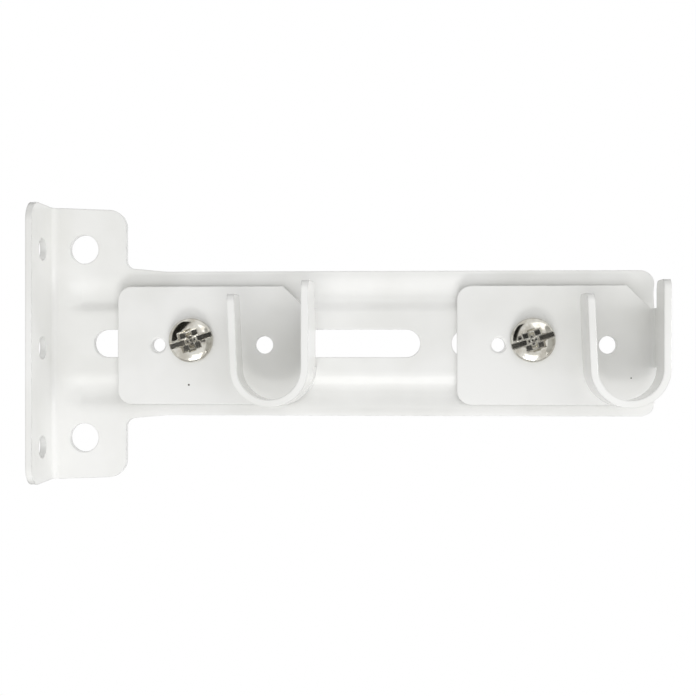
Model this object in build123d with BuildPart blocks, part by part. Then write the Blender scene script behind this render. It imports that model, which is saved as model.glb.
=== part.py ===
"""Double pole bracket for a wall: a pressed sheet arm with two sliding cup carriers.

Millimetres, +Z up, +X away from the wall, and the cups open upward. The origin lies on the
wall face, on the axis of the middle wall hole. The flat side of the arm that carries the
cups faces -Y.
"""

import math
import os

from build123d import *

# Wall bracket: one pressed sheet
sheet = 1.6
arm_y = 8.5  # carrying face of the arm, behind the line of the wall holes
arm_z = 1.2  # centre line of the arm, above the middle wall hole
arm_end = 159.8
arm_half = 19.0
arm_corner = 3.8
flange_free_y = -8.3
flange_corner = 5.0
bend_inner = 1.5
plate_half = 36.0
plate_tip_half = 35.3
plate_end = 21.3
plate_corner = 4.7
neck_half = 20.0
neck_end = 32.0
neck_fillet = 2.4

# Stiffening grooves, pressed away from the carrying face
fade_start = 4.0
fade_end = 9.0
bead_half = 7.45
groove_half = 12.0
rim_half = 18.3
groove_depth = 1.1

# Clamping screws and nuts
screw_x = 39.0
screw_z = 0.8
thread = 5.0
thread_play = 0.05
screw_hole_play = 0.25
screw_length = 10.0
head = 11.6
head_edge = 1.1
head_height = 2.9
drive_turn = 17.5
drive_slot = 1.7
drive_slot_depth = 1.3
cross_span = 5.6
cross_arm = 1.2
cross_depth = 2.1
nut_across = 11.0
nut_thickness = 3.0

# Openings of the wall bracket
wall_hole = 5.8
wall_hole_pitch = 25.5
face_hole = 7.6
face_hole_x = 10.0
face_hole_pitch = 50.0
slot_play = 0.33
slot_width = thread + 2 * (screw_z + slot_play)
slot_1_start = 12.7
slot_1_end = 99.1
slot_2_start = 107.3
slot_2_margin = 5.8

# Carriers: plate, bent leg and rolled cup
carrier_pitch = 89.1
carrier_sheet = 1.8
carrier_start = 19.5
carrier_top = 15.0
carrier_corner = 3.7
cup_x = 61.1
cup_z = -6.1
cup_inner = 8.0
cup_height = 14.3
cup_lift = 3.7
lean = 3.9
left_leg_top = 12.4
right_leg_top = 15.8
left_leg_splay = 0.8
leg_end_round = 2.4
root_top = 9.0
root_inner = 0.9
carrier_drop = 0.4
guide_hole = 3.6
guide_hole_x = 30.2
guide_reach = 1.3
guide_play = 0.3
cup_hole = 4.6
cup_hole_x = cup_x - 2.8

# Derived places
plate_face_y = arm_y - carrier_sheet
slope = math.tan(math.radians(lean))
carrier_bottom = cup_z - cup_inner - carrier_sheet - 0.1
bend_line_x = cup_x + cup_inner + cup_height * slope - root_inner - 0.25
corner_cut_x = bend_line_x - 5.8
corner_cut_z = root_top + 0.4
guide_collar = slot_width - 2 * (carrier_drop + guide_play)
arm_face = Plane(origin=(0, arm_y, arm_z), x_dir=(1, 0, 0), z_dir=(0, -1, 0))
plate_face = Plane(origin=(0, plate_face_y, arm_z), x_dir=(1, 0, 0), z_dir=(0, -1, 0))


def leg_outside(height):
    """X of the bent leg's outer face at a height over the carrier plate."""
    return cup_x + cup_inner + carrier_sheet + (cup_height - height) * slope


def leg_inside(height):
    """X of the bent leg's inner face at a height over the carrier plate."""
    return leg_outside(height) - carrier_sheet


def groove_flank(start, end):
    """Draws one flank of a groove, an S that lies level at both ends."""
    middle_z = (start[1] + end[1]) / 2
    Bezier(start, (start[0], middle_z), (end[0], middle_z), end)


with BuildPart() as wall_bracket:
    # The sheet with its two grooves, which grow out of the flat plate beside the bend
    for station, depth in ((fade_start, 0.0), (fade_end, groove_depth)):
        with BuildSketch(Plane.YZ.offset(station)):
            with BuildLine():
                for y in (arm_y, arm_y + sheet):
                    for side in (-1, 1):
                        bead_edge = (y, arm_z + side * bead_half)
                        bottom = (y + depth, arm_z + side * groove_half)
                        rim_edge = (y, arm_z + side * rim_half)
                        groove_flank(bead_edge, bottom)
                        groove_flank(bottom, rim_edge)
                        Line(rim_edge, (y, arm_z + side * (plate_half + 2)))
                    Line((y, arm_z - bead_half), (y, arm_z + bead_half))
                for side in (-1, 1):
                    edge_z = arm_z + side * (plate_half + 2)
                    Line((arm_y, edge_z), (arm_y + sheet, edge_z))
            make_face()
    loft(ruled=True)
    extrude(wall_bracket.faces().sort_by(Axis.X)[-1], amount=arm_end - fade_end)

    # Cut outline of plate and arm
    with BuildSketch(arm_face) as outline:
        with BuildLine() as half_outline:
            Polyline(
                (fade_start, 0),
                (fade_start, plate_half),
                (plate_end, plate_tip_half),
                (plate_end, neck_half),
                (neck_end, arm_half),
                (arm_end, arm_half),
                (arm_end, 0),
            )
            mirror(about=Plane.XZ)
        make_face()
        for side in (-1, 1):
            for x, z, radius in (
                (plate_end, plate_tip_half, plate_corner),
                (plate_end, neck_half, neck_fillet),
                (neck_end, arm_half, neck_end - plate_end),
                (arm_end, arm_half, arm_corner),
            ):
                fillet(outline.vertices().sort_by_distance((x, side * z))[0], radius)
    extrude(amount=4 * sheet, both=True, mode=Mode.INTERSECT)

    # Bend and wall flange
    with BuildSketch(Plane.XY.offset(arm_z)) as bend:
        with BuildLine():
            Polyline(
                (0, flange_free_y),
                (sheet, flange_free_y),
                (sheet, arm_y),
                (fade_start, arm_y),
                (fade_start, arm_y + sheet),
                (0, arm_y + sheet),
                close=True,
            )
        make_face()
        fillet(bend.vertices().sort_by_distance((sheet, arm_y))[0], bend_inner)
        fillet(bend.vertices().sort_by_distance((0, arm_y + sheet))[0], bend_inner + sheet)
    extrude(amount=plate_half, both=True)
    fillet(wall_bracket.edges().filter_by(Axis.X).group_by(Axis.Y)[0], flange_corner)

    # Wall holes in the flange, a wider pair in the plate, and two guide slots
    with Locations(Plane.YZ.offset(sheet)):
        with GridLocations(1, wall_hole_pitch, 1, 3):
            Hole(wall_hole / 2, depth=2 * sheet)
    with Locations(arm_face):
        with Locations((face_hole_x, 0)):
            with GridLocations(1, face_hole_pitch, 1, 2):
                Hole(face_hole / 2, depth=2 * sheet)
    with BuildSketch(arm_face):
        for start, end in ((slot_1_start, slot_1_end), (slot_2_start, arm_end - slot_2_margin)):
            with Locations(((start + end) / 2, 0)):
                SlotOverall(end - start, slot_width)
    extrude(amount=4 * sheet, both=True, mode=Mode.SUBTRACT)

with BuildPart() as rear_carrier:
    # Plate with a cut upper corner and a lower corner rounded under the cup
    corner_radius = leg_outside(0) - cup_x - (cup_height * slope) / 2
    corner_centre_x = leg_outside(0) - corner_radius
    corner_angle = math.degrees(math.asin((cup_z - carrier_bottom) / corner_radius))
    corner_foot_x = corner_centre_x + corner_radius * math.cos(math.radians(corner_angle))
    with BuildSketch(plate_face) as plate:
        with BuildLine():
            CenterArc((corner_centre_x, cup_z), corner_radius, -corner_angle, corner_angle)
            Polyline(
                (corner_foot_x, carrier_bottom),
                (carrier_start, carrier_bottom),
                (carrier_start, carrier_top),
                (corner_cut_x, carrier_top),
                (bend_line_x, corner_cut_z),
                (bend_line_x, cup_z),
                (leg_outside(0), cup_z),
            )
        make_face()
        fillet(plate.vertices().group_by(Axis.X)[0], carrier_corner)
    extrude(amount=-carrier_sheet)

    # Root bend, which turns the right edge up into the leg
    with BuildSketch(Plane.XY.offset(arm_z + cup_z)) as root:
        with BuildLine():
            Polyline(
                (bend_line_x - 1, arm_y),
                (leg_outside(-carrier_sheet), arm_y),
                (leg_outside(cup_lift + 4), plate_face_y - cup_lift - 4),
                (leg_inside(cup_lift + 4), plate_face_y - cup_lift - 4),
                (leg_inside(0), plate_face_y),
                (bend_line_x - 1, plate_face_y),
                close=True,
            )
        make_face()
        for x, y, radius in (
            (leg_inside(0), plate_face_y, root_inner),
            (leg_outside(0), arm_y, root_inner + carrier_sheet),
        ):
            fillet(root.vertices().sort_by_distance((x, y))[0], radius)
    extrude(amount=root_top - cup_z)

    # Cup strip on edge: right leg, rolled bottom and free left leg
    for height in (cup_lift, cup_height):
        grow = (cup_height - height) * slope / 2
        inner = cup_inner + grow
        outer = inner + carrier_sheet
        centre_x = cup_x + grow
        with BuildSketch(plate_face.offset(height)):
            with BuildLine():
                CenterArc((centre_x, cup_z), inner, 180, 180)
                CenterArc((centre_x, cup_z), outer, 180, 180)
                Polyline(
                    (centre_x + inner, cup_z),
                    (centre_x + inner, right_leg_top),
                    (centre_x + outer, right_leg_top),
                    (centre_x + outer, cup_z),
                )
                Polyline(
                    (centre_x - inner, cup_z),
                    (centre_x - inner - left_leg_splay, left_leg_top),
                    (centre_x - outer - left_leg_splay, left_leg_top),
                    (centre_x - outer, cup_z),
                )
            make_face()
    loft(ruled=True)
    for leg_top in (left_leg_top, right_leg_top):
        ends = rear_carrier.edges().filter_by(Axis.X)
        ends = ends.filter_by_position(Axis.Z, arm_z + leg_top - 0.05, arm_z + leg_top + 0.05)
        fillet(ends, leg_end_round)

    # Collar drawn from the guide hole, which keeps the carrier straight in the arm's slot
    with BuildSketch(arm_face):
        with Locations((guide_hole_x, -carrier_drop)):
            Circle(guide_collar / 2)
    extrude(amount=-guide_reach)
    collar_rim = rear_carrier.edges().filter_by(GeomType.CIRCLE).sort_by(Axis.Y)[-1]
    chamfer(collar_rim, 0.3)

    # Guide hole, screw hole and pole hole
    with Locations(plate_face):
        with Locations((guide_hole_x, -carrier_drop)):
            Hole(guide_hole / 2, depth=2 * carrier_sheet + guide_reach)
        with Locations((screw_x, screw_z)):
            Hole(thread / 2 + screw_hole_play, depth=2 * carrier_sheet)
        with Locations((cup_hole_x, -carrier_drop)):
            Hole(cup_hole / 2, depth=2 * carrier_sheet)
    guide_mouth = (guide_hole_x, plate_face_y, arm_z - carrier_drop)
    mouths = rear_carrier.edges().filter_by(GeomType.CIRCLE)
    chamfer(mouths.sort_by_distance(guide_mouth)[0], 0.4)

with BuildPart() as rear_screw:
    screw_axis = Axis((screw_x, 0, arm_z + screw_z), (0, 1, 0))
    with BuildSketch(Plane.XY.offset(arm_z + screw_z)):
        with BuildLine():
            head_rim_y = plate_face_y - head_edge
            head_top_y = plate_face_y - head_height
            Polyline(
                (screw_x, head_top_y),
                (screw_x, plate_face_y + screw_length),
                (screw_x + thread / 2 - 0.6, plate_face_y + screw_length),
                (screw_x + thread / 2, plate_face_y + screw_length - 0.6),
                (screw_x + thread / 2, plate_face_y),
                (screw_x + head / 2, plate_face_y),
                (screw_x + head / 2, head_rim_y),
            )
            TangentArc(
                (screw_x, head_top_y),
                (screw_x + head / 2, head_rim_y),
                tangent=(1, 0),
            )
        make_face()
    revolve(axis=screw_axis)

    # Slot and cross recess
    head_top = plate_face.offset(head_height)
    with BuildSketch(head_top):
        with Locations((screw_x, screw_z)):
            Rectangle(head + 2, drive_slot, rotation=drive_turn)
    extrude(amount=-drive_slot_depth, mode=Mode.SUBTRACT)
    with BuildSketch(head_top):
        with Locations((screw_x, screw_z)):
            Rectangle(cross_span, cross_arm, rotation=drive_turn)
            Rectangle(cross_arm, cross_span, rotation=drive_turn)
    extrude(amount=-cross_depth, taper=8, mode=Mode.SUBTRACT)

with BuildPart() as rear_nut:
    with BuildSketch(arm_face.offset(-sheet)):
        with Locations((screw_x, screw_z)):
            Rectangle(nut_across, nut_across)
            Circle(thread / 2 + thread_play, mode=Mode.SUBTRACT)
    extrude(amount=-nut_thickness)
    chamfer(rear_nut.edges().filter_by(Axis.Y), 0.8)

with BuildPart() as front_carrier:
    with Locations((carrier_pitch, 0, 0)):
        add(rear_carrier.part)

with BuildPart() as front_screw:
    with Locations((carrier_pitch, 0, 0)):
        add(rear_screw.part)

with BuildPart() as front_nut:
    with Locations((carrier_pitch, 0, 0)):
        add(rear_nut.part)

os.makedirs("parts", exist_ok=True)
wall_bracket.part.label = "wall_bracket"
rear_carrier.part.label = "rear_carrier"
front_carrier.part.label = "front_carrier"
rear_screw.part.label = "rear_screw"
front_screw.part.label = "front_screw"
rear_nut.part.label = "rear_nut"
front_nut.part.label = "front_nut"
export_step(wall_bracket.part, "parts/wall_bracket.step")
export_step(rear_carrier.part, "parts/rear_carrier.step")
export_step(front_carrier.part, "parts/front_carrier.step")
export_step(rear_screw.part, "parts/rear_screw.step")
export_step(front_screw.part, "parts/front_screw.step")
export_step(rear_nut.part, "parts/rear_nut.step")
export_step(front_nut.part, "parts/front_nut.step")
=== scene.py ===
"""Studio scene of a double pole bracket.

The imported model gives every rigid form. This script coats and plates its pieces, gives
the two clamping screws their domed heads, drives and threads, and sets the camera,
light and backdrop.
"""

import logging
import math
from collections.abc import Sequence
from dataclasses import dataclass, field
from enum import Enum
from typing import Any

import bmesh
import bpy
from mathutils import Matrix, Vector


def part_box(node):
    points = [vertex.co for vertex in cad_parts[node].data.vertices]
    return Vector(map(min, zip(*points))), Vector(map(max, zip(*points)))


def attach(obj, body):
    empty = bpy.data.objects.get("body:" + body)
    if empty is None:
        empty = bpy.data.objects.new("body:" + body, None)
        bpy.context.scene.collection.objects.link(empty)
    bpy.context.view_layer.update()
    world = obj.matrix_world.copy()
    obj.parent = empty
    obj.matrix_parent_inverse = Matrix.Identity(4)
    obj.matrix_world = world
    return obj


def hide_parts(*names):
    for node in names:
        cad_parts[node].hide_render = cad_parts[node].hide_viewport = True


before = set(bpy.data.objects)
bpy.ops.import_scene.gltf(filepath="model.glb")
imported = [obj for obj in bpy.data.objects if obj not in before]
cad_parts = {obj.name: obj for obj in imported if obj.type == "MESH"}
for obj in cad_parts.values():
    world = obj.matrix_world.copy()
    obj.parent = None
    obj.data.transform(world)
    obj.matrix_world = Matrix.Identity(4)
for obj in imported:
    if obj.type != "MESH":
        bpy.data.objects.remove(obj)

log = logging.getLogger("bracket")
MM = 0.001
WHITE = "#FFFFFF"

# The sRGB curve: a straight piece up to the knee, then a power
SRGB_KNEE, SRGB_SLOPE = 0.04045, 12.92
SRGB_OFFSET, SRGB_SCALE, SRGB_POWER = 0.055, 1.055, 2.4

# Rays that find an edge's rounding
EDGE_SAMPLES = 4

# Places of the colour sockets in Blender's Mix node
MIX_COLOUR_A, MIX_COLOUR_B, MIX_COLOUR_RESULT = 6, 7, 2


class Station(Enum):
    """The two places on the arm that carry a cup."""

    REAR = "rear"
    FRONT = "front"


def linear(hex_colour: str) -> tuple[float, float, float, float]:
    """Turns an sRGB hex colour to the linear colour that shaders take.

    Args:
        hex_colour: Six hex digits after a hash sign.

    Returns:
        Linear red, green, blue and an alpha of 1.
    """
    parts = [int(hex_colour[i : i + 2], 16) / 255 for i in (1, 3, 5)]
    red, green, blue = (
        part / SRGB_SLOPE
        if part <= SRGB_KNEE
        else ((part + SRGB_OFFSET) / SRGB_SCALE) ** SRGB_POWER
        for part in parts
    )
    return red, green, blue, 1.0


def add_node(
    tree: bpy.types.NodeTree,
    kind: str,
    settings: dict[str, Any] | None = None,
    inputs: dict[str | int, Any] | None = None,
) -> bpy.types.Node:
    """Adds a shader node, sets it and links it.

    Args:
        tree: Node tree that takes the node.
        kind: Blender's type name of the node.
        settings: Attribute names of the node with their values.
        inputs: Input names or numbers with a value, or with an output socket to link.

    Returns:
        The new node.
    """
    node = tree.nodes.new(kind)
    for name, value in (settings or {}).items():
        setattr(node, name, value)
    for key, value in (inputs or {}).items():
        if isinstance(value, bpy.types.NodeSocket):
            tree.links.new(value, node.inputs[key])
        else:
            node.inputs[key].default_value = value
    return node


def new_material(name: str) -> tuple[bpy.types.Material, bpy.types.NodeTree]:
    """Makes an empty node material.

    Args:
        name: Name of the material.

    Returns:
        The material and its cleared node tree.
    """
    material = bpy.data.materials.new(name)
    material.use_nodes = True
    material.node_tree.nodes.clear()
    return material, material.node_tree


def per_metre(spacing_mm: float) -> float:
    """Gives the texture scale at which a pattern repeats every spacing_mm."""
    return 1 / (spacing_mm * MM)


def set_ramp(node: bpy.types.Node, stops: Sequence[tuple[float, str]]) -> None:
    """Sets the stops of a colour ramp.

    Args:
        node: Colour ramp node.
        stops: Positions with their sRGB hex colours, in rising order.
    """
    ramp = node.color_ramp
    while len(ramp.elements) < len(stops):
        ramp.elements.new(1.0)
    for element, (position, colour) in zip(ramp.elements, stops):
        element.position = position
        element.color = linear(colour)


@dataclass(frozen=True)
class Relief:
    """Fine unevenness of a coat or plate, over edges that it rounds.

    Attributes:
        spacing_mm: Spacing of the bumps.
        detail: How many layers of finer bumps lie on them.
        depth_mm: Depth of the bumps.
        edge_round_mm: Radius that an edge shows under the coat or plate.
    """

    spacing_mm: float
    detail: float
    depth_mm: float
    edge_round_mm: float

    def normal(
        self, tree: bpy.types.NodeTree, place: bpy.types.NodeSocket
    ) -> bpy.types.NodeSocket:
        """Adds the relief to a material.

        Args:
            tree: Node tree of the material.
            place: Coordinates that the bumps follow.

        Returns:
            The normal that the shader takes.
        """
        bumps = add_node(
            tree,
            "ShaderNodeTexNoise",
            inputs={
                "Vector": place,
                "Scale": per_metre(self.spacing_mm),
                "Detail": self.detail,
            },
        )
        edge = add_node(
            tree,
            "ShaderNodeBevel",
            {"samples": EDGE_SAMPLES},
            {"Radius": self.edge_round_mm * MM},
        )
        bump = add_node(
            tree,
            "ShaderNodeBump",
            inputs={
                "Strength": 1.0,
                "Distance": self.depth_mm * MM,
                "Height": bumps.outputs["Fac"],
                "Normal": edge.outputs["Normal"],
            },
        )
        return bump.outputs["Normal"]


@dataclass(frozen=True)
class WhitePowderCoat:
    """Polyester powder coat, sprayed and baked on sheet steel.

    To the eye it is an even, slightly glossy white skin with a faint orange peel,
    softened edges, and a few dark pinholes where the powder didn't close.

    Attributes:
        name: Name of the material.
        colour: Coat at its full thickness.
        thin_colour: Coat where it lies thinner.
        pinhole_colour: Bottom of a pinhole.
        roughness: Mean roughness.
        gloss_swing: Change of the roughness in the thin and the thick places.
        ior: Index of refraction of polyester.
        cloud_mm: Size of the thin and thick places.
        cloud_detail: How broken their borders are.
        cloud_stops: Cloud values at which the coat is thin, and at which it is full.
        pinhole_grid_mm: Size of the cells that may hold a pinhole.
        pinhole_mm: Radius of a pinhole.
        pinhole_free: Share of the cells without one.
        peel: Orange peel of the baked powder.
    """

    name: str = "white_powder_coat_baked"
    colour: str = "#F3F3F1"
    thin_colour: str = "#ECECE9"
    pinhole_colour: str = "#4A463F"
    roughness: float = 0.18
    gloss_swing: tuple[float, float] = (-0.05, 0.07)
    ior: float = 1.5
    cloud_mm: float = 22.0
    cloud_detail: float = 3.0
    cloud_stops: tuple[float, float] = (0.35, 0.6)
    pinhole_grid_mm: float = 11.0
    pinhole_mm: float = 0.3
    pinhole_free: float = 0.45
    peel: Relief = Relief(
        spacing_mm=1.6, detail=1.5, depth_mm=0.008, edge_round_mm=0.5
    )

    def build(self) -> bpy.types.Material:
        """Makes the material.

        Returns:
            The white coat.
        """
        material, tree = new_material(self.name)
        place = add_node(tree, "ShaderNodeTexCoord").outputs["Object"]
        cloud = add_node(
            tree,
            "ShaderNodeTexNoise",
            inputs={
                "Vector": place,
                "Scale": per_metre(self.cloud_mm),
                "Detail": self.cloud_detail,
            },
        ).outputs["Fac"]
        tint = add_node(tree, "ShaderNodeValToRGB", inputs={"Fac": cloud})
        set_ramp(tint, tuple(zip(self.cloud_stops, (self.thin_colour, self.colour))))
        colour = add_node(
            tree,
            "ShaderNodeMix",
            {"data_type": "RGBA"},
            {
                "Factor": self._pinholes(tree, place),
                MIX_COLOUR_A: tint.outputs["Color"],
                MIX_COLOUR_B: linear(self.pinhole_colour),
            },
        )
        thin, thick = self.gloss_swing
        gloss = add_node(
            tree,
            "ShaderNodeMapRange",
            inputs={
                "Value": cloud,
                "To Min": self.roughness + thin,
                "To Max": self.roughness + thick,
            },
        )
        shader = add_node(
            tree,
            "ShaderNodeBsdfPrincipled",
            inputs={
                "Base Color": colour.outputs[MIX_COLOUR_RESULT],
                "Roughness": gloss.outputs["Result"],
                "IOR": self.ior,
                "Normal": self.peel.normal(tree, place),
            },
        )
        add_node(
            tree, "ShaderNodeOutputMaterial", inputs={"Surface": shader.outputs["BSDF"]}
        )
        return material

    def _pinholes(
        self, tree: bpy.types.NodeTree, place: bpy.types.NodeSocket
    ) -> bpy.types.NodeSocket:
        """Makes small round spots in some cells of a wide grid.

        Args:
            tree: Node tree of the material.
            place: Coordinates that the cells follow.

        Returns:
            A value of 1 in a pinhole and 0 elsewhere.
        """
        cells = add_node(
            tree,
            "ShaderNodeTexVoronoi",
            inputs={"Vector": place, "Scale": per_metre(self.pinhole_grid_mm)},
        )
        near = add_node(
            tree,
            "ShaderNodeMath",
            {"operation": "LESS_THAN"},
            {
                0: cells.outputs["Distance"],
                1: self.pinhole_mm / self.pinhole_grid_mm,
            },
        )
        drawn = add_node(
            tree, "ShaderNodeSeparateColor", inputs={"Color": cells.outputs["Color"]}
        )
        chosen = add_node(
            tree,
            "ShaderNodeMath",
            {"operation": "GREATER_THAN"},
            {0: drawn.outputs["Red"], 1: self.pinhole_free},
        )
        pinhole = add_node(
            tree,
            "ShaderNodeMath",
            {"operation": "MULTIPLY"},
            {0: near.outputs["Value"], 1: chosen.outputs["Value"]},
        )
        return pinhole.outputs["Value"]


@dataclass(frozen=True)
class PlatedSteel:
    """Electroplated steel of a screw or nut.

    Attributes:
        name: Name of the material.
        colour: Plate where it is bright.
        smudge_and_reflection_colour: Plate where it is thin or handled; on the nickel
            these
        patches are partly painted brown reflections.
        roughness: Mean roughness.
        stain_mm: Size of the bright and dull patches.
        grain: Forming marks under the plate.
        gloss_swing: Roughness that a dull patch adds and a bright one takes off.
        stain_detail: How broken the patches' borders are.
        stain_stops: Stain values between which dull turns to bright.
    """

    name: str
    colour: str
    smudge_and_reflection_colour: str
    roughness: float
    stain_mm: float
    grain: Relief
    gloss_swing: float = 0.06
    stain_detail: float = 4.0
    stain_stops: tuple[float, float] = (0.38, 0.58)

    def build(self) -> bpy.types.Material:
        """Makes the material.

        Returns:
            The plated metal.
        """
        material, tree = new_material(self.name)
        place = add_node(tree, "ShaderNodeTexCoord").outputs["Object"]
        smudges_and_reflections = add_node(
            tree,
            "ShaderNodeTexNoise",
            inputs={
                "Vector": place,
                "Scale": per_metre(self.stain_mm),
                "Detail": self.stain_detail,
            },
        ).outputs["Fac"]
        # Dull patches: handling smudges, and on the nickel partly painted brown
        # reflections
        tint = add_node(tree, "ShaderNodeValToRGB", inputs={"Fac": smudges_and_reflections})
        set_ramp(tint, tuple(zip(self.stain_stops, (self.smudge_and_reflection_colour, self.colour))))
        gloss = add_node(
            tree,
            "ShaderNodeMapRange",
            inputs={
                "Value": smudges_and_reflections,
                "To Min": self.roughness + self.gloss_swing,
                "To Max": self.roughness - self.gloss_swing,
            },
        )
        shader = add_node(
            tree,
            "ShaderNodeBsdfPrincipled",
            inputs={
                "Base Color": tint.outputs["Color"],
                "Metallic": 1.0,
                "Roughness": gloss.outputs["Result"],
                "Normal": self.grain.normal(tree, place),
            },
        )
        add_node(
            tree, "ShaderNodeOutputMaterial", inputs={"Surface": shader.outputs["BSDF"]}
        )
        return material


# Bright nickel, barrel plated on a cold-headed screw: mirror-like with a warm cast.
# The forming marks are drawn coarser than real ones, so that they show.
NICKEL = PlatedSteel(
    name="bright_nickel_plate",
    colour="#D6D4CC",
    # Dull patches: partly handling smudges, partly painted brown reflections
    smudge_and_reflection_colour="#BDB9AF",
    roughness=0.13,
    stain_mm=2.4,
    grain=Relief(spacing_mm=0.5, detail=3.0, depth_mm=0.004, edge_round_mm=0.3),
)

# Clear zinc on a pressed nut: greyer, with a satin break of the light.
# The press marks are drawn coarser than real ones, so that they show.
ZINC = PlatedSteel(
    name="clear_zinc_plate",
    colour="#C3C6C9",
    smudge_and_reflection_colour="#A7ABAE",
    roughness=0.34,
    stain_mm=3.5,
    grain=Relief(spacing_mm=0.4, detail=3.0, depth_mm=0.008, edge_round_mm=0.15),
)


def dress(node: str, material: bpy.types.Material) -> None:
    """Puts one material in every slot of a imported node.

    Args:
        node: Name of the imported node.
        material: Material that its surface takes.
    """
    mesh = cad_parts[node].data
    if not mesh.materials:
        mesh.materials.append(material)
    for index in range(len(mesh.materials)):
        mesh.materials[index] = material
    log.info("%s: %s", node, material.name)


def link(thing: bpy.types.Object) -> None:
    """Puts an object in the scene."""
    bpy.context.scene.collection.objects.link(thing)


def take_mesh(shape: bmesh.types.BMesh, name: str) -> bpy.types.Mesh:
    """Moves an edited shape to a new mesh.

    Args:
        shape: The shape, which is freed.
        name: Name of the mesh.

    Returns:
        The mesh.
    """
    mesh = bpy.data.meshes.new(name)
    shape.to_mesh(mesh)
    shape.free()
    return mesh


@dataclass
class WallBracket:
    """The pressed arm with its wall flange.

    Attributes:
        coat: Material of the sheet.
        node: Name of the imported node.
    """

    coat: bpy.types.Material
    node: str = "wall_bracket"

    def build(self) -> None:
        """Coats the bracket."""
        dress(self.node, self.coat)


@dataclass
class CupCarrier:
    """One sliding plate with its rolled cup.

    Attributes:
        station: Which of the two carriers it is.
        coat: Material of the sheet.
    """

    station: Station
    coat: bpy.types.Material

    def build(self) -> None:
        """Coats the carrier."""
        dress(f"{self.station.value}_carrier", self.coat)


@dataclass(frozen=True)
class Recess:
    """One tapered cut of the drive in the screw's head.

    Attributes:
        turn_deg: Direction of its length, up from the slot's.
        mouth: Length and width at the crown, in millimetres.
        floor: Length and width at its floor.
        depth: Depth under the crown.
    """

    turn_deg: float
    mouth: tuple[float, float]
    floor: tuple[float, float]
    depth: float


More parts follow.
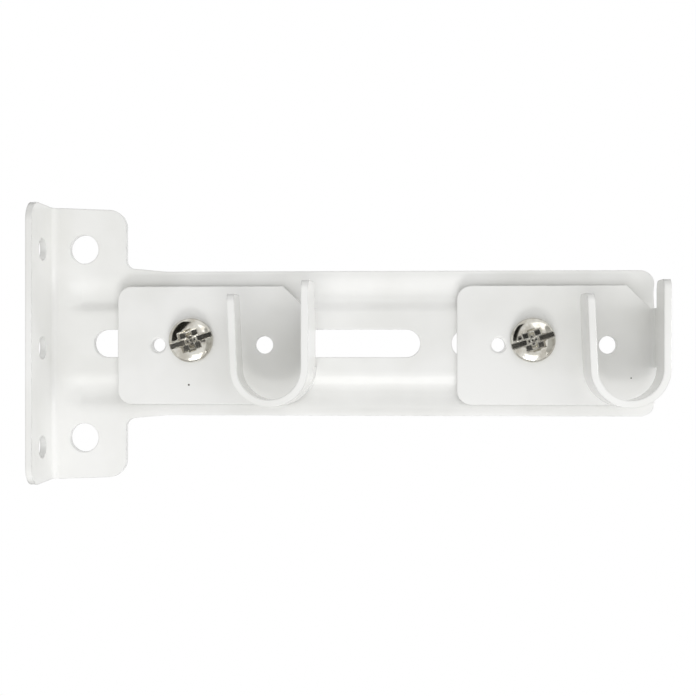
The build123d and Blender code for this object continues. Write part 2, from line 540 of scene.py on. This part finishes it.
@dataclass
class ClampScrew:
    """A clamping screw with a domed head, a slot and cross drive, and a cut thread.

    Sizes are in millimetres. The place, the head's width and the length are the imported
    node's.

    Attributes:
        station: Which carrier it clamps.
        plate: Material of the screw.
        zinc: Material of its nut.
        edge_height: Height of the head's upright edge.
        edge_chamfer: Chamfer under the head's edge.
        dome_power: Fullness of the dome: 2 is round, more has a rounder shoulder.
        pitch: Thread pitch.
        crest: Outer radius of the thread.
        depth: Depth of the thread.
        ridge_slope: Steepness of the thread's flanks, in depths a pitch.
        ridge_reach: Height that the flanks would meet at, in depths.
        tip_chamfer: Length of the cone at the tip.
        tip_under_root: How far the tip lies inside the thread's root.
        around: Steps in one turn.
        dome_rings: Rings of the dome.
        rings_a_pitch: Rings in one pitch of the thread.
        drive_turn: Direction of the slot, in degrees up from the arm's own length.
        drive: Slot, square pocket round the cross, its two wings and their core.
        cutter_over: How far the drive's cutters stand out over the crown.
        rim_share: Share of the head's radius past which a point is on its rim.
        smooth_deg: Angle up to which two faces are shaded as one surface.
    """

    station: Station
    plate: bpy.types.Material
    zinc: bpy.types.Material
    edge_height: float = 0.9
    edge_chamfer: float = 0.15
    dome_power: float = 2.5
    pitch: float = 0.8
    crest: float = 2.48
    depth: float = 0.45
    ridge_slope: float = 3.0
    ridge_reach: float = 1.35
    tip_chamfer: float = 0.6
    tip_under_root: float = 0.2
    around: int = 72
    dome_rings: int = 26
    rings_a_pitch: int = 10
    drive_turn: float = 17.5
    drive: tuple[Recess, ...] = (
        Recess(0.0, (14.0, 1.75), (14.0, 1.55), 1.95),
        Recess(0.0, (5.4, 5.4), (4.9, 4.9), 1.3),
        Recess(0.0, (6.4, 2.2), (2.6, 0.9), 2.35),
        Recess(90.0, (6.4, 2.2), (2.6, 0.9), 2.35),
        Recess(45.0, (4.0, 4.0), (0.8, 0.8), 2.45),
    )
    cutter_over: float = 0.4
    rim_share: float = 0.97
    smooth_deg: float = 34.0

    @property
    def name(self) -> str:
        """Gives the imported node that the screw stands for."""
        return f"{self.station.value}_screw"

    def build(self) -> None:
        """Builds the screw, puts it in place of the plain one and plates its nut."""
        low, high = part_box(self.name)
        radius = (high.x - low.x) / 2 / MM
        seat = (self._head_seat() - low.y) / MM
        length = (high.y - low.y) / MM
        blank = self._turned(radius, seat, length)
        mesh = self._cut(bpy.data.objects.new("turned_blank", blank))
        middle = Vector(((low.x + high.x) / 2, low.y, (low.z + high.z) / 2))
        mesh.transform(Matrix.Translation(middle) @ Matrix.Scale(MM, 4))
        mesh.name = f"{self.name}_threaded"
        mesh.materials.clear()
        mesh.materials.append(self.plate)
        mesh.shade_smooth()
        mesh.set_sharp_from_angle(angle=math.radians(self.smooth_deg))
        piece = bpy.data.objects.new(mesh.name, mesh)
        link(piece)
        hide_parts(self.name)
        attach(piece, f"{self.station.value}_cup_group")
        faces = len(mesh.polygons)
        log.info("%s: %d faces, head %.1f mm high", piece.name, faces, seat)
        dress(f"{self.station.value}_nut", self.zinc)

    def _head_seat(self) -> float:
        """Finds where the head's flat underside lies.

        Returns:
            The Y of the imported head's rim at its furthest from the viewer.
        """
        low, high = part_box(self.name)
        middle_x, reach = (low.x + high.x) / 2, (high.x - low.x) / 2
        rim = [
            vertex.co.y
            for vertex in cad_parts[self.name].data.vertices
            if abs(vertex.co.x - middle_x) > self.rim_share * reach
        ]
        return max(rim)

    def _rings(self, radius: float, seat: float, length: float) -> list[list[Vector]]:
        """Works out the rings of points from the crown to the tip.

        Args:
            radius: Radius of the head.
            seat: Height of the head.
            length: Length of the whole screw.

        Returns:
            Rings of points about the Y axis, with the crown at Y 0.
        """
        dome = seat - self.edge_height
        turns = [math.tau * step / self.around for step in range(self.around)]
        outline = []
        for ring in range(1, self.dome_rings + 1):
            rise = math.pi / 2 * (1 - ring / self.dome_rings)
            reach = radius * math.cos(rise) ** (2 / self.dome_power)
            outline.append((reach, dome * (1 - math.sin(rise))))
        outline.append((radius, seat - self.edge_chamfer))
        outline.append((radius - self.edge_chamfer, seat))
        rings = [self._ring(turns, [reach] * self.around, y) for reach, y in outline]
        shank = length - seat
        root = self.crest - self.depth
        count = int(shank / self.pitch * self.rings_a_pitch)
        for ring in range(count + 1):
            down = shank * ring / count
            cone = (shank - down) * self.depth / self.tip_chamfer
            limit = root - self.tip_under_root + cone
            run_out = min(1.0, down / self.pitch)
            radii = [
                min(root + self._ridge(down, turn) * run_out, limit) for turn in turns
            ]
            rings.append(self._ring(turns, radii, seat + down))
        return rings

    def _ring(
        self, turns: Sequence[float], radii: Sequence[float], y: float
    ) -> list[Vector]:
        """Gives the points of one ring, each at its own radius.

        Args:
            turns: Angles of the points about the axis.
            radii: Their radii.
            y: Their height.

        Returns:
            The points, in the order of the angles.
        """
        return [
            Vector((radius * math.cos(turn), y, radius * math.sin(turn)))
            for turn, radius in zip(turns, radii)
        ]

    def _ridge(self, down: float, turn: float) -> float:
        """Gives the height of the thread's ridge over its root.

        Args:
            down: Distance from the head's underside.
            turn: Angle about the axis.

        Returns:
            A height from 0 to the thread's depth, with a flat crest and a flat root.
        """
        phase = (down / self.pitch - turn / math.tau) % 1.0
        rise = self.ridge_reach - self.ridge_slope * abs(phase - 0.5)
        return self.depth * min(1.0, max(0.0, rise))

    def _turned(self, radius: float, seat: float, length: float) -> bpy.types.Mesh:
        """Turns the closed blank of head and thread.

        Args:
            radius: Radius of the head.
            seat: Height of the head.
            length: Length of the whole screw.

        Returns:
            A closed mesh in millimetres.
        """
        shape = bmesh.new()
        crown = shape.verts.new((0.0, 0.0, 0.0))
        rings = [
            [shape.verts.new(point) for point in ring]
            for ring in self._rings(radius, seat, length)
        ]
        for step in range(self.around):
            after = (step + 1) % self.around
            shape.faces.new((crown, rings[0][step], rings[0][after]))
            for upper, lower in zip(rings, rings[1:]):
                shape.faces.new((upper[step], lower[step], lower[after], upper[after]))
        shape.faces.new(rings[-1])
        bmesh.ops.recalc_face_normals(shape, faces=shape.faces)
        return take_mesh(shape, "turned_blank")

    def _cutter(self, recess: Recess) -> bpy.types.Object:
        """Makes the tapered block that one recess is cut with.

        Args:
            recess: Its direction, sizes and depth.

        Returns:
            A closed block in millimetres, which stands out over the crown.
        """
        turn = math.radians(self.drive_turn + recess.turn_deg)
        along = Vector((math.cos(turn), 0.0, math.sin(turn)))
        side = Vector((-math.sin(turn), 0.0, math.cos(turn)))
        corners = ((-1, -1), (1, -1), (1, 1), (-1, 1))
        levels = (
            (recess.mouth, -self.cutter_over),
            (recess.mouth, 0.0),
            (recess.floor, recess.depth),
        )
        shape = bmesh.new()
        loops = []
        for (run, width), y in levels:
            half_run, half_width = along * (run / 2), side * (width / 2)
            down = Vector((0.0, y, 0.0))
            loops.append(
                [
                    shape.verts.new(half_run * a + half_width * b + down)
                    for a, b in corners
                ]
            )
        for upper, lower in zip(loops, loops[1:]):
            for here in range(len(corners)):
                after = (here + 1) % len(corners)
                shape.faces.new((upper[here], lower[here], lower[after], upper[after]))
        shape.faces.new(loops[0])
        shape.faces.new(loops[-1])
        bmesh.ops.recalc_face_normals(shape, faces=shape.faces)
        return bpy.data.objects.new("drive_cutter", take_mesh(shape, "drive_cutter"))

    def _cut(self, turned: bpy.types.Object) -> bpy.types.Mesh:
        """Cuts the drive into the turned blank.

        Args:
            turned: The closed blank, in millimetres.

        Returns:
            The finished screw's mesh, still in millimetres.
        """
        cutters = [self._cutter(recess) for recess in self.drive]
        for thing in (turned, *cutters):
            link(thing)
        for cutter in cutters:
            modifier = turned.modifiers.new("drive", "BOOLEAN")
            modifier.operation = "DIFFERENCE"
            modifier.solver = "EXACT"
            modifier.object = cutter
        graph = bpy.context.evaluated_depsgraph_get()
        mesh = bpy.data.meshes.new_from_object(turned.evaluated_get(graph))
        for thing in (turned, *cutters):
            bpy.data.objects.remove(thing)
        return mesh


@dataclass(frozen=True)
class SoftBox:
    """A soft box that looks at the arm.

    Lengths are in metres.

    Attributes:
        name: Name of the lamp.
        turn_deg: Where it stands round the arm's face: 0 above, 90 right, 180 below.
        rise_deg: How far it stands over the plane of the arm's face.
        distance: Distance from the arm.
        size: Its width and height.
        power: Its output in watts.
    """

    name: str
    turn_deg: float
    rise_deg: float
    distance: float
    size: tuple[float, float]
    power: float

    def offset(self) -> Vector:
        """Works out the lamp's place from the arm.

        Returns:
            The way from the arm to the lamp.
        """
        turn, rise = math.radians(self.turn_deg), math.radians(self.rise_deg)
        flat = math.cos(rise)
        ray = Vector((flat * math.sin(turn), -math.sin(rise), flat * math.cos(turn)))
        return ray * self.distance


@dataclass(frozen=True)
class DarkCard:
    """A black felt card that the camera doesn't see.

    Lengths are in metres.

    Attributes:
        name: Name of the card.
        offset: Its centre from the arm.
        size: Its width and height.
        mirrored_only: Whether gloss alone shows it, so that it takes no light away.
    """

    name: str
    offset: tuple[float, float, float]
    size: tuple[float, float]
    mirrored_only: bool


@dataclass
class Studio:
    """Camera, light and backdrop of a catalogue shot, taken almost straight on.

    Lengths without a unit in their name are in metres.

    Attributes:
        image_px: Width of the image that the focal length is stated for.
        focal_px: Focal length in pixels of that image.
        sensor_mm: Width of the camera's sensor.
        aim: Point on the arm's face that the camera looks at.
        distance: Distance of the camera from that point.
        yaw_deg: How far the camera stands round to the right.
        clip: Nearest and furthest distance that the camera sees.
        fill_strength: Strength of the even light from all round.
        backdrop_behind: Distance of the backdrop behind the arm.
        backdrop_size: Width and height of the backdrop.
        paper_colour: Colour of the backdrop.
        felt_colour: Colour of the dark cards.
        lamps: The soft boxes.
        cards: The dark cards.
    """

    image_px: int = 696
    focal_px: float = 1050.0
    sensor_mm: float = 36.0
    aim: Vector = field(default_factory=lambda: Vector((80.14, 8.5, 0.0)) * MM)
    distance: float = 276.0 * MM
    yaw_deg: float = 2.56
    clip: tuple[float, float] = (0.01, 20.0)
    fill_strength: float = 0.69
    backdrop_behind: float = 0.42
    backdrop_size: float = 3.0
    paper_colour: str = "#F4F4F4"
    felt_colour: str = "#2B2A26"
    lamps: tuple[SoftBox, ...] = (
        SoftBox("low_box", 180.0, 29.0, 0.6, (0.35, 0.08), 1.1),
        SoftBox("low_panel", 172.0, 45.0, 0.55, (0.3, 0.22), 0.3),
        SoftBox("upper_right_box", 42.0, 40.0, 0.6, (0.5, 0.3), 0.4),
        SoftBox("side_box", 90.0, 8.0, 0.6, (0.3, 0.1), 0.9),
    )
    cards: tuple[DarkCard, ...] = (
        DarkCard("lens_board", (0.0, -0.31, 0.02), (0.26, 0.07), True),
        DarkCard("left_card", (-0.3, -0.26, 0.2), (0.34, 0.5), True),
        DarkCard("left_flag", (-0.26, 0.1, 0.0), (0.26, 0.4), False),
        DarkCard("top_flag", (0.0, 0.1, 0.17), (0.6, 0.12), False),
        DarkCard("low_flag", (0.0, 0.1, -0.22), (0.6, 0.26), False),
    )

    def build(self) -> None:
        """Sets up the whole studio."""
        self._camera()
        for lamp in self.lamps:
            self._lamp(lamp)
        self._world()
        self._backdrop()
        for card in self.cards:
            self._card(card)
        bpy.context.scene.view_settings.view_transform = "Standard"

    def _camera(self) -> None:
        """Places the camera in front of the arm, a little right of its middle."""
        data = bpy.data.cameras.new("camera")
        data.sensor_width = self.sensor_mm
        data.lens = self.focal_px / self.image_px * self.sensor_mm
        data.clip_start, data.clip_end = self.clip
        camera = bpy.data.objects.new("camera", data)
        yaw = math.radians(self.yaw_deg)
        back = Vector((math.sin(yaw), -math.cos(yaw), 0.0))
        camera.location = self.aim + back * self.distance
        camera.rotation_euler = (math.radians(90), 0.0, yaw)
        link(camera)
        bpy.context.scene.camera = camera

    def _aim_at_part(self, thing: bpy.types.Object) -> None:
        """Turns a lamp or card so that its face looks at the arm."""
        direction = self.aim - thing.location
        thing.rotation_euler = direction.to_track_quat("-Z", "Y").to_euler()

    def _lamp(self, box: SoftBox) -> None:
        """Hangs one soft box where the camera doesn't see it.

        Args:
            box: The lamp's place, size and power.
        """
        data = bpy.data.lights.new(box.name, "AREA")
        data.shape = "RECTANGLE"
        data.size, data.size_y = box.size
        data.energy = box.power
        lamp = bpy.data.objects.new(box.name, data)
        lamp.location = self.aim + box.offset()
        self._aim_at_part(lamp)
        lamp.visible_camera = False
        link(lamp)

    def _world(self) -> None:
        """Lights the part evenly and shows white to the camera and to reflections."""
        world = bpy.data.worlds.new("white_room")
        bpy.context.scene.world = world
        world.use_nodes = True
        tree = world.node_tree
        tree.nodes.clear()
        fill, seen = (
            add_node(
                tree,
                "ShaderNodeBackground",
                inputs={"Color": linear(WHITE), "Strength": strength},
            ).outputs[0]
            for strength in (self.fill_strength, 1.0)
        )
        self._mix_by_ray(tree, fill, seen, "ShaderNodeOutputWorld")

    def _mix_by_ray(
        self,
        tree: bpy.types.NodeTree,
        lighting: bpy.types.NodeSocket,
        seen: bpy.types.NodeSocket,
        output: str,
    ) -> None:
        """Gives camera, glossy and transmission rays one shader and the rest another.

        Args:
            tree: Node tree of the world or backdrop.
            lighting: Shader that the part is lit by.
            seen: Shader that is seen, also in reflections.
            output: Blender's type name of the output node.
        """
        path = add_node(tree, "ShaderNodeLightPath")
        any_seen = path.outputs["Is Camera Ray"]
        for ray in ("Is Glossy Ray", "Is Transmission Ray"):
            any_seen = add_node(
                tree,
                "ShaderNodeMath",
                {"operation": "MAXIMUM"},
                {0: any_seen, 1: path.outputs[ray]},
            ).outputs["Value"]
        mix = add_node(
            tree, "ShaderNodeMixShader", inputs={0: any_seen, 1: lighting, 2: seen}
        )
        add_node(tree, output, inputs={"Surface": mix.outputs[0]})

    def _plane(
        self, name: str, size: tuple[float, float], place: Vector
    ) -> bpy.types.Object:
        """Makes a sheet of the studio, which faces its own +Z.

        Args:
            name: Name of the sheet.
            size: Its width and height.
            place: Its centre.

        Returns:
            The sheet, marked as stage.
        """
        shape = bmesh.new()
        bmesh.ops.create_grid(shape, x_segments=2, y_segments=2, size=0.5)
        bmesh.ops.scale(shape, vec=(*size, 1.0), verts=shape.verts)
        sheet = bpy.data.objects.new(name, take_mesh(shape, name))
        sheet.location = place
        link(sheet)
        return sheet

    def _backdrop(self) -> None:
        """Stands the pale backdrop behind the arm, white to the camera and to gloss."""
        behind = self.aim + Vector((0.0, self.backdrop_behind, 0.0))
        size = (self.backdrop_size, self.backdrop_size)
        sheet = self._plane("pale_backdrop", size, behind)
        sheet.rotation_euler = (math.radians(90), 0.0, 0.0)
        material, tree = new_material("pale_backdrop_paper")
        paper = add_node(
            tree, "ShaderNodeBsdfDiffuse", inputs={"Color": linear(self.paper_colour)}
        ).outputs[0]
        white = add_node(
            tree,
            "ShaderNodeEmission",
            inputs={"Color": linear(WHITE), "Strength": 1.0},
        ).outputs[0]
        self._mix_by_ray(tree, paper, white, "ShaderNodeOutputMaterial")
        sheet.data.materials.append(material)

    def _card(self, card: DarkCard) -> None:
        """Hangs a dark card, for dark lines in the metal and on edges.

        Args:
            card: The card's place and size.
        """
        sheet = self._plane(card.name, card.size, self.aim + Vector(card.offset))
        self._aim_at_part(sheet)
        material, tree = new_material(f"{card.name}_felt")
        felt = add_node(
            tree, "ShaderNodeBsdfDiffuse", inputs={"Color": linear(self.felt_colour)}
        )
        add_node(tree, "ShaderNodeOutputMaterial", inputs={"Surface": felt.outputs[0]})
        sheet.data.materials.append(material)
        sheet.visible_camera = False
        sheet.visible_diffuse = sheet.visible_shadow = not card.mirrored_only


def main() -> None:
    """Builds the studio and dresses every piece."""
    logging.basicConfig(level=logging.INFO, format="%(name)s: %(message)s")
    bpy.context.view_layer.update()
    Studio().build()
    coat = WhitePowderCoat().build()
    nickel = NICKEL.build()
    zinc = ZINC.build()
    WallBracket(coat).build()
    for station in Station:
        CupCarrier(station, coat).build()
        ClampScrew(station, nickel, zinc).build()


if __name__ == "__main__":
    main()
